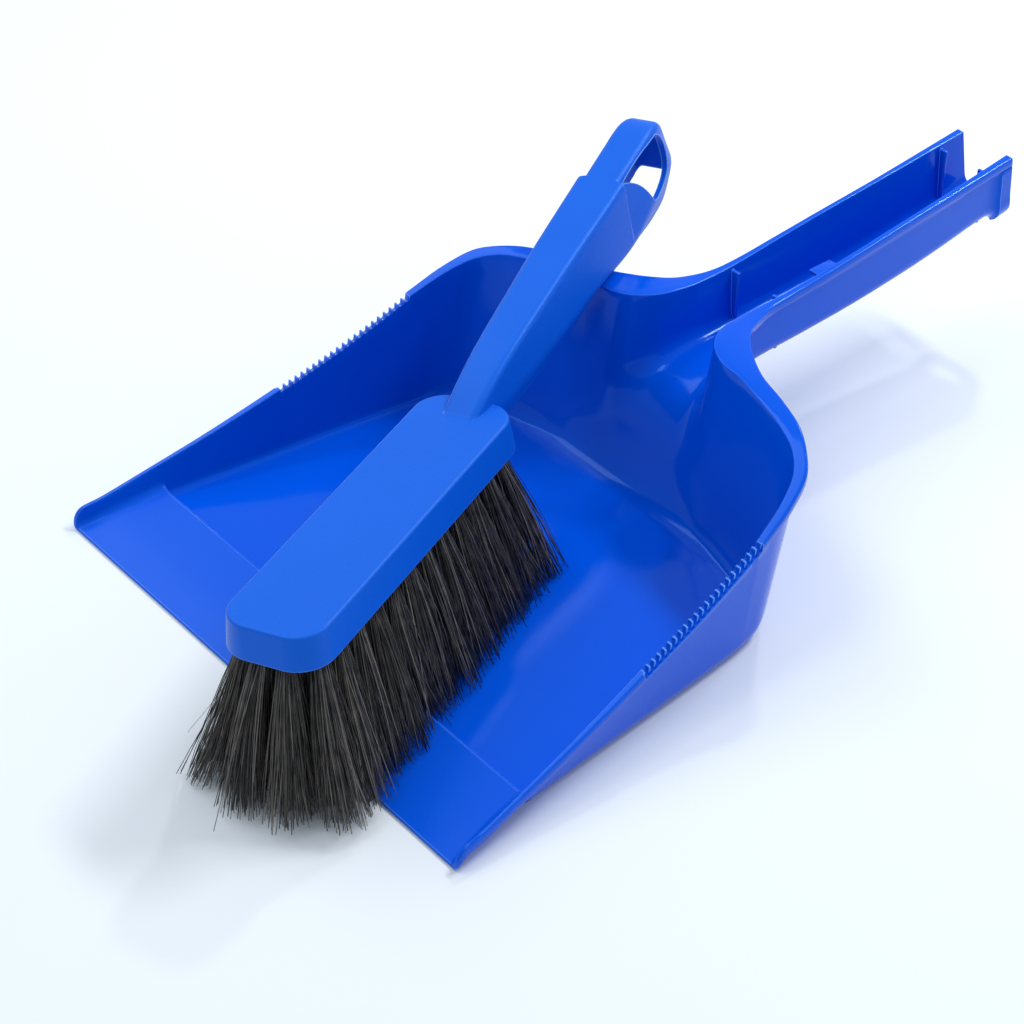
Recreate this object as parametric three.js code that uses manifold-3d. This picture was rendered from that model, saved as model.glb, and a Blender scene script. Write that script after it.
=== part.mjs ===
// Dustpan with a hand brush lying in it.
// Frame: +Z up, the open trough handle along +Y, the origin at the middle of the pan's flat base.
// The pieces are shaped with the lip at y = 0, and the whole assembly is then moved back by
// BASE_MIDDLE. z = 0 is the surface that the base and the lip rest on. Lengths in millimetres.
import * as THREE from 'three';
import { mergeVertices } from 'three/addons/utils/BufferGeometryUtils.js';
import Module from 'manifold-3d';

const wasm = await Module();
wasm.setup();

// ---- driving dimensions: pan ----
const BASE_MIDDLE = 95;        // from the lip to the middle of the flat base
const LIP_HALF = 111.2;        // half width of the rim at the lip
const SIDE_TAPER = 0.106;      // how much each side closes in per millimetre of depth
const COMB_START = 85;
const COMB_END = 141;
const COMB_DROP = 1.6;
const COMB_TEETH = 22;
const WALL = 2.5;              // wall thickness under the rim
const TROUGH_WALL = 2.1;       // wall thickness of the trough handle
const RIM_OVERHANG = 0.7;      // how far the rim stands out from the wall under it
const RIM_DEPTH = 3.4;         // height of the rim's outer face
const FLOOR = 2.6;             // floor thickness
const RAMP_END = 34.5;         // depth of the raised ramp behind the lip
const RAMP_TOP = 5.85;
const BASE_INSET = 3.5;        // how far the foot of a side wall stands in from its rim
const BACK_INSET = 14.5;       // how far the foot of the back wall stands in from its rim
const BACK_TOP = 183.5;         // depth of the back wall at its top
const HANDLE_END = 347;
const TROUGH_DEPTH = 23;       // clear depth of the trough handle
const RIB = 1.3;

// ---- driving dimensions: brush ----
const BRUSH_AT = [45.7, -23.6, 68];   // middle of the block's front top edge
const BRUSH_YAW = 113.4;
const BRUSH_PITCH = -1.2;
const BRUSH_ROLL = 5;
const BLOCK_LENGTH = 140;
const BLOCK_WIDTH = 35.4;
const BLOCK_HEIGHT = 12.4;
const BLOCK_DRAFT = 1.3;
const TUFT_LENGTH = 54;        // free length of the fibres below the block
const TUFT_ROOT = 2.8;
const TUFT_TIP = 5.0;
const TUFT_SEAT = 5;           // how deep a tuft sits in its hole
const GAP = 0.3;
const ROWS = [                 // offset from the middle, first tuft, number of tufts
  { y: -12.4, start: 11.2, count: 12 },
  { y: -4.1, start: 5.8, count: 13 },
  { y: 4.1, start: 5.8, count: 13 },
  { y: 12.4, start: 11.2, count: 12 },
];
const TUFT_PITCH = 10.7;
const SPLAY_ALONG = [-19, 13];           // how far the tips lean forward at the front, back at the back
const SPLAY_ACROSS = [-15, -4, 7, 20];   // and to the side, row by row

// ---- helpers ----
const rad = THREE.MathUtils.degToRad;
const clamp = THREE.MathUtils.clamp;
const lerp = THREE.MathUtils.lerp;
const smooth = THREE.MathUtils.smoothstep;

function solid(geometry) {
  const g = geometry.clone();
  g.deleteAttribute('normal');
  g.deleteAttribute('uv');
  const m = mergeVertices(g, 1e-4);
  const vertProperties = new Float32Array(m.attributes.position.array);
  const triVerts = new Uint32Array(m.index.array);
  return new wasm.Manifold(new wasm.Mesh({ numProp: 3, vertProperties, triVerts }));
}

function geometryOf(manifold) {
  const mesh = manifold.getMesh();
  const g = new THREE.BufferGeometry();
  g.setAttribute('position', new THREE.BufferAttribute(new Float32Array(mesh.vertProperties), 3));
  g.setIndex(new THREE.BufferAttribute(new Uint32Array(mesh.triVerts), 1));
  g.computeVertexNormals();
  return g;
}

// Moves every vertex of a geometry through a function of its position.
function bend(geometry, move) {
  const p = geometry.attributes.position;
  const v = new THREE.Vector3();
  for (let i = 0; i < p.count; i += 1) {
    v.fromBufferAttribute(p, i);
    move(v);
    p.setXYZ(i, v.x, v.y, v.z);
  }
  return geometry;
}

// A smooth curve z(y) or x(y) through a few stations.
function curve(stations) {
  const line = new THREE.SplineCurve(stations.map(([a, b]) => new THREE.Vector2(a, b)));
  const pts = line.getPoints(stations.length * 12);
  return (a) => {
    if (a <= pts[0].x) return pts[0].y;
    for (let i = 1; i < pts.length; i += 1) {
      if (a <= pts[i].x) {
        return lerp(pts[i - 1].y, pts[i].y, (a - pts[i - 1].x) / (pts[i].x - pts[i - 1].x));
      }
    }
    return pts[pts.length - 1].y;
  };
}

// A closed outline, mirrored about x = 0, from the half that lies at positive x.
function mirrored(half) {
  const left = half.filter((p) => p.x > 1e-6).map((p) => new THREE.Vector2(-p.x, p.y)).reverse();
  return new THREE.Shape([...half, ...left]);
}

function prism(shape, depth, steps = 1) {
  return new THREE.ExtrudeGeometry(shape, { depth, steps, bevelEnabled: false, curveSegments: 8 });
}

// A profile in the Y-Z plane, drawn out along X between -half and +half.
function acrossX(profile, half) {
  const g = prism(new THREE.Shape(profile.map(([y, z]) => new THREE.Vector2(y, z))), 2 * half);
  g.rotateX(Math.PI / 2);
  g.rotateZ(Math.PI / 2);
  g.translate(-half, 0, 0);
  return g;
}

function box(x0, x1, y0, y1, z0, z1) {
  const g = new THREE.BoxGeometry(x1 - x0, y1 - y0, z1 - z0);
  g.translate((x0 + x1) / 2, (y0 + y1) / 2, (z0 + z1) / 2);
  return g;
}

// ---- pan: the curves that shape it ----
const rimHeight = curve([
  [-3, 1.0], [0.2, 4.2], [1.6, 6.4], [3.6, 7.5], [6.4, 7.9], [10, 8.3], [17, 9.8], [30, 13.0], [53, 18.7], [85, 28.0],
  [113, 37.2], [141, 48.7], [152, 53.8], [163, 58.8], [174, 63.4], [186, 66.4], [198, 66.9], [210, 66.3],
  [225, 66.5], [245, 68.1], [275, 71.2], [310, 74.8], [349, 79.2],
]);

// Floor of the trough: it rolls over the top of the back wall and runs out to the handle's end.
const troughFloor = curve([
  [170, 8], [174, 15], [178, 24], [184, 32.5], [190, 37.6], [197, 40.8], [206, 42.6], [218, 43.4],
  [240, 44.2], [273, 46], [312, 50.2], [338, 54.6], [358, 58.2],
]);

// Clear half width of the trough: wide where the back wall opens into it, then nearly parallel.
const troughHalf = curve([
  [168, 42], [176, 41.5], [180, 40], [184, 34], [187, 26.5], [190, 20], [194, 15.6], [200, 13.4], [208, 12.8],
  [218, 12.4], [250, 12.6], [300, 12.0], [358, 11.8],
]);

// The end of the handle is cut square to its rising run, so low points of it reach further back.
const squareCut = (y, z) => 0.13 * Math.max(0, rimHeight(y) - z) * smooth(y, 326, HANDLE_END);

const side = (y, inset) => LIP_HALF - SIDE_TAPER * y - inset;

const cornerRim = [[92.7, 158], [88.4, 167.8], [82, 173.6], [73, 179.4], [58, 184.9]];
const neckRim = [
  [43.8, 189.1], [34, 194.4], [26.4, 200.1], [21.6, 205.5], [18.6, 211.8], [16.2, 220], [15.3, 232], [15.2, 250],
];
const cornerInner = [[88.9, 156.5], [84.4, 165], [78, 170.6], [69, 174.8], [54, 179.1]];

// Half outline from the lip to the end of the handle, through the back corner and the neck.
function handleOutline(inset, corner, neck, endHalf, endY) {
  const pts = [[side(COMB_END, inset), COMB_END], ...corner, ...neck, [endHalf, 300]];
  const arc = new THREE.SplineCurve(pts.map(([x, y]) => new THREE.Vector2(x, y))).getPoints(44);
  const front = [new THREE.Vector2(side(0, inset), 0), new THREE.Vector2(side(70, inset), 70)];
  return [...front, ...arc, new THREE.Vector2(endHalf, endY)];
}

// Half outline of the bin alone: its back wall runs straight on past the handle.
function binOutline(inset, corner, backY) {
  const pts = [[side(COMB_END, inset), COMB_END], ...corner, [30, backY], [0, backY + 1.5]];
  const arc = new THREE.SplineCurve(pts.map(([x, y]) => new THREE.Vector2(x, y))).getPoints(20);
  return [
    new THREE.Vector2(side(0, inset), 0), new THREE.Vector2(side(35, inset), 35),
    new THREE.Vector2(side(70, inset), 70), new THREE.Vector2(side(105, inset), 105), ...arc,
  ];
}

function moveOut(points, by) {
  return points.map(([x, y]) => {
    const a = Math.atan2(y - 140, x);
    return [x + by * Math.cos(a), y + by * Math.sin(a)];
  });
}

// Stands an outline up from the floor to the rim, leaning out as it rises.
function leaningWalls(outline, z0, levels) {
  const g = prism(mirrored(outline), levels.length - 1, levels.length - 1);
  return bend(g, (v) => {
    const { t, tuck } = levels[Math.round(v.z)];
    const back = BACK_INSET * smooth(v.y, 118, 200) + tuck * smooth(v.y, 100, 170);
    const z = z0 + t * (rimHeight(v.y) + 3 - z0);
    const lean = 1 - t;
    v.x -= Math.sign(v.x) * Math.min(Math.abs(v.x) / 60, 1) * (BASE_INSET * lean + tuck);
    v.y -= v.y > 100 ? BACK_INSET * smooth(v.y, 118, 200) * lean + (back - BACK_INSET * smooth(v.y, 118, 200)) : 0;
    v.z = z;
  });
}

// Trough-shaped solid that follows the handle: round underneath, straight-sided above.
function troughSolid(skin, y0, y1, above) {
  const section = new THREE.Shape([
    [-1, 1], [-1, 0.3], [-0.97, 0.16], [-0.88, 0.06], [-0.68, 0], [0, -0.01],
    [0.68, 0], [0.88, 0.06], [0.97, 0.16], [1, 0.3], [1, 1],
  ].map(([x, z]) => new THREE.Vector2(x, z)));
  const stations = [y0];
  for (let y = y0; y < y1; y += y < 206 ? 2.4 : 12) stations.push(Math.min(y + (y < 206 ? 2.4 : 12), y1));
  const g = prism(section, stations.length - 1, stations.length - 1);
  return bend(g, (v) => {
    const y = stations[Math.round(v.z)];
    const half = troughHalf(y - skin) + skin * 0.84;
    const low = troughFloor(y - 0.6 * skin) - skin;
    const x = -v.x * half;
    const flank = Math.max(0, Math.abs(x) - 13) * 0.75 * (1 - clamp(v.y, 0, 1));
    const z = low + flank + v.y * (TROUGH_DEPTH + above + skin);
    v.set(x, y + squareCut(y, z), z);
  });
}

// ---- pan: pieces of the moulding ----
function binShell() {
  const outer = solid(leaningWalls(
    binOutline(RIM_OVERHANG, moveOut(cornerInner, WALL), BACK_TOP + WALL), 0,
    [{ t: 0, tuck: 1.2 }, { t: 0.04, tuck: 0 }, { t: 0.35, tuck: 0 }, { t: 0.7, tuck: 0 }, { t: 1, tuck: 0 }],
  ));
  const handle = solid(troughSolid(TROUGH_WALL, 168, HANDLE_END, 16));
  return outer.add(handle);
}

function binCavity() {
  const bin = solid(leaningWalls(
    binOutline(RIM_OVERHANG + WALL, cornerInner, BACK_TOP), FLOOR,
    [{ t: 0, tuck: 4.5 }, { t: 0.03, tuck: 2.2 }, { t: 0.1, tuck: 0.4 }, { t: 0.4, tuck: 0 }, { t: 1.25, tuck: 0 }],
  ));
  const trough = solid(troughSolid(0, 170, HANDLE_END + 8, 30));
  const mouth = solid(box(-side(0, 9.2), side(0, 9.2), -6, 1, FLOOR, 60));
  return bin.add(trough).add(mouth);
}

function rimBand(drop, thickness, y0, y1) {
  const n = 40;
  const top = [];
  for (let i = 0; i <= n; i += 1) {
    const y = lerp(y0, y1, i / n);
    top.push([y, rimHeight(y) - drop]);
  }
  const under = [...top].reverse().map(([y, z]) => [y, z - thickness]);
  return solid(acrossX([...top, ...under], 130));
}

function underRim() {
  const n = 44;
  const profile = [[-8, -2], [HANDLE_END + 11, -2]];
  for (let i = n; i >= 0; i -= 1) {
    const y = lerp(-3, HANDLE_END + 0.02, i / n);
    profile.push([y, rimHeight(y)]);
  }
  profile.push([-8, 0.9]);
  return solid(acrossX(profile, 130));
}

function rimFlange() {
  const outline = handleOutline(0, cornerRim, neckRim, 14.3, HANDLE_END);
  return solid(prism(mirrored(outline), 110)).intersect(rimBand(0, RIM_DEPTH, 0.2, HANDLE_END));
}

// The raised ramp behind the lip, hollow underneath.
function ramp() {
  const profile = [
    [0, 0], [0.4, 0.9], [9, 2.5], [RAMP_END - 1, RAMP_TOP], [RAMP_END, RAMP_TOP - 0.6],
    [RAMP_END + 0.6, 0.2], [RAMP_END - 1.8, 0.2], [RAMP_END - 1.8, RAMP_TOP - 2.5], [9.4, 0.5], [6, 0],
  ];
  const half = [[0, 0], [LIP_HALF - 0.8, 0], [LIP_HALF - 1.6, 4], [LIP_HALF - 3, 12], [LIP_HALF - 6, 40], [0, 40]];
  const outline = mirrored(half.map(([x, y]) => new THREE.Vector2(x, y)));
  return solid(acrossX(profile, 130)).intersect(solid(prism(outline, 60)));
}

function rampHollow() {
  return solid(acrossX([
    [6, -1], [6, 0], [9.4, 0.5], [RAMP_END - 1.8, RAMP_TOP - 2.5], [RAMP_END - 1.8, -1],
  ], 130));
}

// Row of small scallops along the outer edge of each side of the rim.
function combCuts() {
  const cuts = [];
  const pitch = (COMB_END - COMB_START) / COMB_TEETH;
  for (const sign of [-1, 1]) {
    for (let i = 0; i < COMB_TEETH; i += 1) {
      const y = COMB_START + (i + 0.5) * pitch;
      const cut = new THREE.CylinderGeometry(0.95, 0.95, 14, 6);
      cut.rotateX(Math.PI / 2);
      cut.translate(sign * (side(y, 0) + 0.1), y, rimHeight(y));
      cuts.push(solid(cut));
    }
  }
  return cuts.reduce((a, b) => a.add(b));
}

function combRecess() {
  const n = 12;
  const profile = [];
  for (let i = 0; i <= n; i += 1) {
    const y = lerp(COMB_START - 1.5, COMB_END + 1.5, i / n);
    profile.push([y, rimHeight(y) - COMB_DROP * Math.min(1, 4 * Math.min(i, n - i) / n)]);
  }
  return solid(acrossX([...profile, [COMB_END + 1.5, 80], [COMB_START - 1.5, 80]], 130));
}

// Stiffening ribs, clip and hanging slot of the trough handle, and its turned-out end.
function troughRibs() {
  const parts = [];
  for (const [y, inner, outer] of [[228, 8.9, 13.6], [335.8, 8.4, 13]]) {
    const low = troughFloor(y) - 0.8;
    const high = rimHeight(y) - 1.6;
    for (const sign of [-1, 1]) {
      const x0 = Math.min(sign * inner, sign * outer);
      const x1 = Math.max(sign * inner, sign * outer);
      parts.push(solid(box(x0, x1, y - RIB / 2, y + RIB / 2, low, high)));
    }
  }
  const z = rimHeight(255) - 4.8;
  parts.push(solid(box(4.4, 13.4, 250.2, 261, z - 1.5, z)));
  return parts.reduce((a, b) => a.add(b));
}

function endCollar() {
  const length = 5.6;
  const half = new THREE.Shape();
  half.moveTo(-14.2, 40);
  half.lineTo(-14.2, 10);
  half.quadraticCurveTo(-13.8, -0.9, -8.6, -2.2);
  half.lineTo(8.6, -2.2);
  half.quadraticCurveTo(13.8, -0.9, 14.2, 10);
  half.lineTo(14.2, 40);
  const g = prism(half, length, 2);
  bend(g, (v) => {
    const y = HANDLE_END + 0.01 - length + v.z;
    const flare = v.z < 0.5 ? 0.945 : 1;
    const z = troughFloor(y) - WALL + v.y;
    v.set(v.x * flare, y + squareCut(y, z), z);
  });
  return solid(flip(g));
}

// Turns a mesh's faces over after a mirroring move.
function flip(g) {
  const p = g.attributes.position;
  const a = new THREE.Vector3();
  const b = new THREE.Vector3();
  for (let i = 0; i < p.count; i += 3) {
    a.fromBufferAttribute(p, i + 1);
    b.fromBufferAttribute(p, i + 2);
    p.setXYZ(i + 1, b.x, b.y, b.z);
    p.setXYZ(i + 2, a.x, a.y, a.z);
  }
  return g;
}

function hangingSlot() {
  const slot = new THREE.CylinderGeometry(1, 1, 16, 20);
  slot.rotateX(Math.PI / 2);
  slot.scale(8.8, 3.5, 1);
  slot.translate(0, HANDLE_END - 3.2, troughFloor(HANDLE_END - 3.2));
  return solid(slot);
}

function dustpan() {
  const cavity = binCavity();
  const shell = binShell().add(endCollar()).intersect(underRim());
  const rim = rimFlange().subtract(combCuts());
  return shell.add(rim).subtract(cavity).subtract(rampHollow()).add(ramp())
    .add(troughRibs().intersect(underRim()))
    .subtract(combRecess()).subtract(hangingSlot());
}

// ---- brush, in its own frame: x along it from the front edge, y across, z up from the block's top ----
function blockOutline(grow) {
  const r = 11 + grow;
  const x0 = -grow;
  const x1 = BLOCK_LENGTH + grow;
  const h = BLOCK_WIDTH / 2 + grow;
  const s = new THREE.Shape();
  s.moveTo(x0 + r, -h);
  s.lineTo(x1 - r, -h);
  s.absarc(x1 - r, -h + r, r, -Math.PI / 2, 0);
  s.absarc(x1 - r, h - r, r, 0, Math.PI / 2);
  s.lineTo(x0 + r, h);
  s.absarc(x0 + r, h - r, r, Math.PI / 2, Math.PI);
  s.absarc(x0 + r, -h + r, r, Math.PI, 1.5 * Math.PI);
  return s;
}

function block() {
  const levels = [
    { z: -BLOCK_HEIGHT, grow: BLOCK_DRAFT - 0.5 }, { z: -BLOCK_HEIGHT + 0.6, grow: BLOCK_DRAFT },
    { z: -1.7, grow: 0.1 }, { z: -0.5, grow: -0.5 }, { z: 0, grow: -1.6 },
  ];
  const g = prism(blockOutline(0), levels.length - 1, levels.length - 1);
  const h = BLOCK_WIDTH / 2;
  bend(g, (v) => {
    const { z, grow } = levels[Math.round(v.z)];
    v.set(
      lerp(-grow, BLOCK_LENGTH + grow, v.x / BLOCK_LENGTH),
      v.y * (h + grow) / h,
      z,
    );
  });
  return solid(g);
}

const handleTop = curve([[120, -3], [128, 0.4], [136, 4.2], [188, 19.8], [240, 31.6], [262, 37], [270, 39.2],
  [276, 40.3], [281, 39.6], [285, 36.2], [288, 31.5], [291, 24.5]]);
const handleWaist = curve([[120, -6], [146, -4.4], [190, 1.4], [213, 4.8], [250, 9], [264, 15], [276, 19],
  [291, 20.2]]);
const handleFoot = curve([[120, -11], [146, -10.8], [160, -9.6], [196, -3.2], [220, 2.9], [246, 4.5], [266, 6.6],
  [277, 9], [284, 12.6], [288, 16.2], [291, 19.8]]);
const topHalf = curve([[120, 5.6], [136, 6.6], [188, 8.2], [240, 9.4], [246, 8.6], [252, 7.2], [276, 7],
  [284, 6.4], [291, 4]]);
const waistHalf = curve([[120, 7.4], [146, 8.2], [190, 10.8], [213, 12], [246, 12.4], [262, 12.1], [274, 11.2],
  [282, 10], [287, 8.2], [291, 5.4]]);
const footHalf = curve([[120, 6], [146, 6.8], [196, 8.8], [230, 9.8], [250, 9.8], [268, 9.6], [280, 8.6],
  [286, 7], [291, 4.4]]);
const HANDLE_FROM = 122;
const HANDLE_TO = 291;

// The grip: flat on top, with side facets down to a waist line and lower facets under it.
function gripSolid(shrink, from, to, steps) {
  const s = new THREE.Shape([
    new THREE.Vector2(-1, 1), new THREE.Vector2(-1, 0), new THREE.Vector2(-1, -1),
    new THREE.Vector2(1, -1), new THREE.Vector2(1, 0), new THREE.Vector2(1, 1),
  ]);
  const g = prism(s, to - from, steps);
  bend(g, (v) => {
    const along = from + v.z;
    const level = Math.round(v.y);
    const half = [footHalf, waistHalf, topHalf][level + 1](along) - shrink;
    const z = [handleFoot, handleWaist, handleTop][level + 1](along);
    const lift = level === 1 ? -shrink * 1.1 : 0;
    const sink = level === -1 ? -shrink * 4 : 0;
    v.set(along, Math.sign(v.x) * half, z + lift + sink);
  });
  return solid(g);
}

// Opening through both side walls near the tip, so that the brush can hang.
function loopOpening() {
  const s = new THREE.Shape();
  s.moveTo(245.5, 30.6);
  s.quadraticCurveTo(257, 28, 262.4, 16);
  s.lineTo(267, 13.8);
  s.quadraticCurveTo(279.5, 18, 280, 26.5);
  s.quadraticCurveTo(280.6, 33.5, 274.5, 37);
  s.quadraticCurveTo(260, 35, 245.5, 30.6);
  const g = prism(s, 60);
  g.rotateX(Math.PI / 2);
  g.translate(0, 30, 0);
  return solid(g);
}

function tuftHoles() {
  const holes = tuftPlaces().map(({ x, y }) => {
    const g = new THREE.CylinderGeometry(TUFT_ROOT + GAP, TUFT_ROOT + GAP, TUFT_SEAT + GAP + 2, 8);
    g.rotateX(Math.PI / 2);
    g.translate(x, y, -BLOCK_HEIGHT + (TUFT_SEAT + GAP - 2) / 2);
    return solid(g);
  });
  return holes.reduce((a, b) => a.add(b));
}

function stock() {
  const hollow = gripSolid(2.4, 150, HANDLE_TO - 4.4, 14);
  const grip = gripSolid(0, HANDLE_FROM, HANDLE_TO, 26).subtract(hollow).subtract(loopOpening());
  return block().add(grip).subtract(tuftHoles());
}

function tuftPlaces() {
  const places = [];
  ROWS.forEach(({ y, start, count }, row) => {
    for (let i = 0; i < count; i += 1) {
      places.push({ row, i, x: start + i * TUFT_PITCH, y });
    }
  });
  return places;
}

// Height of whatever a fibre would come down on at a given depth of the pan.
function groundUnder(y) {
  if (y < 0) return 0;
  if (y < RAMP_END) return lerp(0.9, RAMP_TOP, y / RAMP_END);
  return FLOOR;
}

const brushFrame = new THREE.Group();
brushFrame.position.set(...BRUSH_AT);
brushFrame.rotation.set(rad(-BRUSH_ROLL), rad(-BRUSH_PITCH), rad(BRUSH_YAW), 'ZYX');
brushFrame.updateMatrixWorld(true);

// One tuft: a round bundle in its hole that spreads and splays below the block.
function tuft({ row, x, y }) {
  const share = clamp((x - 5.8) / 128.4, 0, 1);
  const splayX = lerp(...SPLAY_ALONG, share) / TUFT_LENGTH;
  const splayY = SPLAY_ACROSS[row] / TUFT_LENGTH;
  const root = new THREE.Vector3(x, y, -BLOCK_HEIGHT);
  let length = TUFT_LENGTH;
  for (let k = 0; k < 60; k += 1) {
    const end = root.clone().add(new THREE.Vector3(splayX, splayY, -1).multiplyScalar(length));
    end.applyMatrix4(brushFrame.matrixWorld);
    const ground = Math.max(groundUnder(end.y - 5), groundUnder(end.y), groundUnder(end.y + 5));
    if (end.z > ground + 2.6) break;
    length -= 0.4;
  }
  const profile = [
    [0, -length], [TUFT_TIP, -length], [TUFT_ROOT, -GAP - 0.2], [TUFT_ROOT, TUFT_SEAT], [0, TUFT_SEAT],
  ];
  const g = new THREE.LatheGeometry(profile.map(([r, z]) => new THREE.Vector2(r, z)), 8);
  g.rotateX(Math.PI / 2);
  bend(g, (v) => {
    const below = Math.max(0, -v.z);
    v.x += splayX * below;
    v.y += splayY * below;
  });
  g.translate(x, y, -BLOCK_HEIGHT);
  return mergeVertices(stripped(g), 1e-4);
}

function stripped(g) {
  g.deleteAttribute('normal');
  g.deleteAttribute('uv');
  return g;
}

// ---- assembly ----
const blue = { color: 0x0a4fd6, roughness: 0.32, metalness: 0 };
const satinBlue = { color: 0x1f63e6, roughness: 0.45, metalness: 0 };
const fibre = { color: 0x26242a, roughness: 0.6, metalness: 0 };

function named(name, geometry, finish) {
  const mesh = new THREE.Mesh(geometry, new THREE.MeshStandardMaterial(finish));
  mesh.name = name;
  return mesh;
}

const assembly = new THREE.Group();
assembly.add(named('dustpan_body', geometryOf(dustpan()), blue));
brushFrame.add(named('brush_stock', geometryOf(stock()), satinBlue));
for (const place of tuftPlaces()) {
  const name = `bristle_tuft_row${place.row + 1}_${String(place.i + 1).padStart(2, '0')}`;
  brushFrame.add(named(name, tuft(place), fibre));
}
assembly.add(brushFrame);
assembly.position.y = -BASE_MIDDLE;

export default assembly;
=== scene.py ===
"""Dustpan with a hand brush lying in it: the visual model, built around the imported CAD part.

Shapes are worked out in millimetres with the pan's lip at y = 0, and written to meshes in metres
with the origin at the middle of the pan's base, as the CAD has it.
"""
import math

import bmesh
import bpy
import numpy as np
from mathutils import Euler, Matrix, Vector


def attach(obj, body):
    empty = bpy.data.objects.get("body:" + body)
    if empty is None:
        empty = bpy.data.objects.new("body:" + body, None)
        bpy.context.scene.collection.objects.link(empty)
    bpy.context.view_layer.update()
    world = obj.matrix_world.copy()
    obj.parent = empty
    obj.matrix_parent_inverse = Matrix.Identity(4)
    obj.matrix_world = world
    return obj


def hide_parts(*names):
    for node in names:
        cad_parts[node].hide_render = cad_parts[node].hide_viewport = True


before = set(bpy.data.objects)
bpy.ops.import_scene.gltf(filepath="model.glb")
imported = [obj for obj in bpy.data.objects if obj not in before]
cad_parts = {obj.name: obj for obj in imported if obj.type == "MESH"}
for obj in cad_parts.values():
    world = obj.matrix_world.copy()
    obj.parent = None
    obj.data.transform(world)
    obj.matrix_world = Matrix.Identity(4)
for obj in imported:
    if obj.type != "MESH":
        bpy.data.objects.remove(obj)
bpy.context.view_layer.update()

SEED = 7
RNG = np.random.default_rng(SEED)
MM = 0.001
BASE_MIDDLE = 95.0

# ---- pan, in millimetres ----
LIP_HALF = 111.2
SIDE_TAPER = 0.106
COMB_START = 85.0
COMB_END = 141.0
COMB_TEETH = 22
FLOOR_THICK = 2.5
RIM_FACE = 3.4
FLOOR_TOP = 2.6
FOOT_INSET = 6.1
BACK_INSET = 20.0
HANDLE_END = 347.0
COLLAR = 5.4
COVE = 6.2
SQUARE_CUT = 0.13
END_ROUNDING = 0.35
RAMP_CREST = 33.5
RAMP_END = 34.5
RAMP_TOP = 5.85
RIBS = ((228, 3.4, 12.2), (335.0, 3.0, 11.0))  # depth, reach into the trough, wall's inner face

# ---- brush, in millimetres ----
BRUSH_AT = Vector((45.7, -23.6 - BASE_MIDDLE, 68.0))
BRUSH_TURN = Euler((math.radians(-5), math.radians(1.2), math.radians(113.4)), "XYZ")
BLOCK_LENGTH = 140.0
BLOCK_WIDTH = 35.4
BLOCK_HEIGHT = 12.4
CORNER = 11.0
GRIP_REACH = (122, 291)
GRIP_HOLLOW = (150, 286.8)
GRIP_WALL = 2.4
TONGUE_STEP = 2.5
TUFT_LENGTH = 54.0
TUFT_ROOT = 2.6
TUFT_TIP = 8.4
TUFT_PITCH = 10.7
# Each row: offset from the block's middle line, place of the first tuft, number of tufts.
ROWS = ((-12.4, 11.2, 12), (-4.1, 5.8, 13), (4.1, 5.8, 13), (12.4, 11.2, 12))
SPLAY_ALONG = (-13.5, 8.5)
SPLAY_ACROSS = (-10.0, -3.0, 6.0, 15.5)
FIBRES = 180


# ---- small tools ----
def curve(stations):
    """Smooth curve through (place, value) stations."""
    xs, ys = np.array(stations, float).T
    slope = np.gradient(ys, xs)

    def at(x):
        x = np.clip(np.asarray(x, float), xs[0], xs[-1])
        i = np.clip(np.searchsorted(xs, x, side="right") - 1, 0, len(xs) - 2)
        h = xs[i + 1] - xs[i]
        t = (x - xs[i]) / h
        near = (1 + 2 * t) * (1 - t) ** 2 * ys[i] + t * (1 - t) ** 2 * h * slope[i]
        far = t * t * (3 - 2 * t) * ys[i + 1] + t * t * (t - 1) * h * slope[i + 1]
        return near + far

    return at


def smoothstep(x, a, b):
    t = np.clip((np.asarray(x, float) - a) / (b - a), 0, 1)
    return t * t * (3 - 2 * t)


def lerp(a, b, t):
    return a + (b - a) * t


def new_object(name, points, faces, metres=MM):
    mesh = bpy.data.meshes.new(name)
    mesh.from_pydata((np.asarray(points) * metres).tolist(), [], faces)
    obj = bpy.data.objects.new(name, mesh)
    bpy.context.scene.collection.objects.link(obj)
    return obj


def tidy(obj, merge=1e-7):
    """Merges doubled points and turns every face outwards."""
    bm = bmesh.new()
    bm.from_mesh(obj.data)
    bmesh.ops.remove_doubles(bm, verts=bm.verts, dist=merge)
    bmesh.ops.dissolve_degenerate(bm, edges=bm.edges, dist=merge)
    bmesh.ops.recalc_face_normals(bm, faces=bm.faces)
    bm.to_mesh(obj.data)
    bm.free()
    return obj


def join_or_cut(obj, other, operation):
    """Boolean with another object, which is used up."""
    mod = obj.modifiers.new("cut", "BOOLEAN")
    mod.operation = operation
    mod.solver = "EXACT"
    mod.object = other
    bake_modifiers(obj)
    bpy.data.objects.remove(other)
    return obj


def bake_modifiers(obj):
    graph = bpy.context.evaluated_depsgraph_get()
    mesh = bpy.data.meshes.new_from_object(obj.evaluated_get(graph))
    obj.modifiers.clear()
    obj.data = mesh
    mesh.name = obj.name


def smooth_shade(obj, degrees):
    for face in obj.data.polygons:
        face.use_smooth = True
    obj.data.set_sharp_from_angle(angle=math.radians(degrees))


def loft(name, rings):
    """Closed rings of equal length joined into a skin, with a flat cap on each end."""
    rings = np.asarray(rings, float)
    count, around, _ = rings.shape
    faces = []
    for k in range(count - 1):
        for j in range(around):
            n = (j + 1) % around
            faces.append((k * around + j, k * around + n, (k + 1) * around + n, (k + 1) * around + j))
    faces.append(tuple(range(around)))
    faces.append(tuple(reversed(range((count - 1) * around, count * around))))
    return tidy(new_object(name, rings.reshape(-1, 3), faces))


# ---- camera ----
AZIMUTH = math.radians(50.52)
ELEVATION = math.radians(38.51)


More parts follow.
